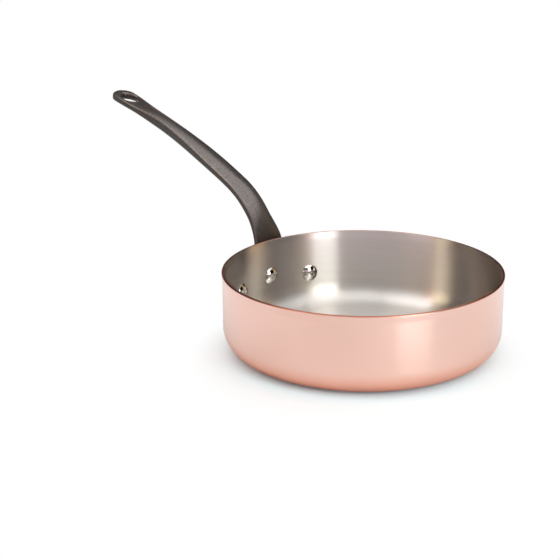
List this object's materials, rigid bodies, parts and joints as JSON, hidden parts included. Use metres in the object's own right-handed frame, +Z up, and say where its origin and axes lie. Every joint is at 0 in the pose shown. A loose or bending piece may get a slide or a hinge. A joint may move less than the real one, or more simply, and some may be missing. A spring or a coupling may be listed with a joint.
{
  "type": "saute pan",
  "caption": "Round straight-sided copper saute pan with a brushed stainless steel lining and a long dark cast-iron handle fixed by polished domed rivets.",
  "frame": {"origin": "centre of the pan's base on the resting plane", "axes": "+Z up along the pan's axis, -X along the handle"},
  "size_m": [0.4701, 0.2398, 0.1781],
  "materials": {
    "copper": "satin polished copper, fine circumferential grain",
    "lining_steel": "brushed in circles",
    "handle_iron": "fine cast grain, dark brown-grey, oiled",
    "rivet_steel": "polished"
  },
  "bodies": {
    "root": {"copper_body": "copper", "steel_lining": "lining_steel", "handle": "handle_iron", "rivet_left": "rivet_steel", "rivet_centre": "rivet_steel", "rivet_right": "rivet_steel"}
  },
  "joints": []
}
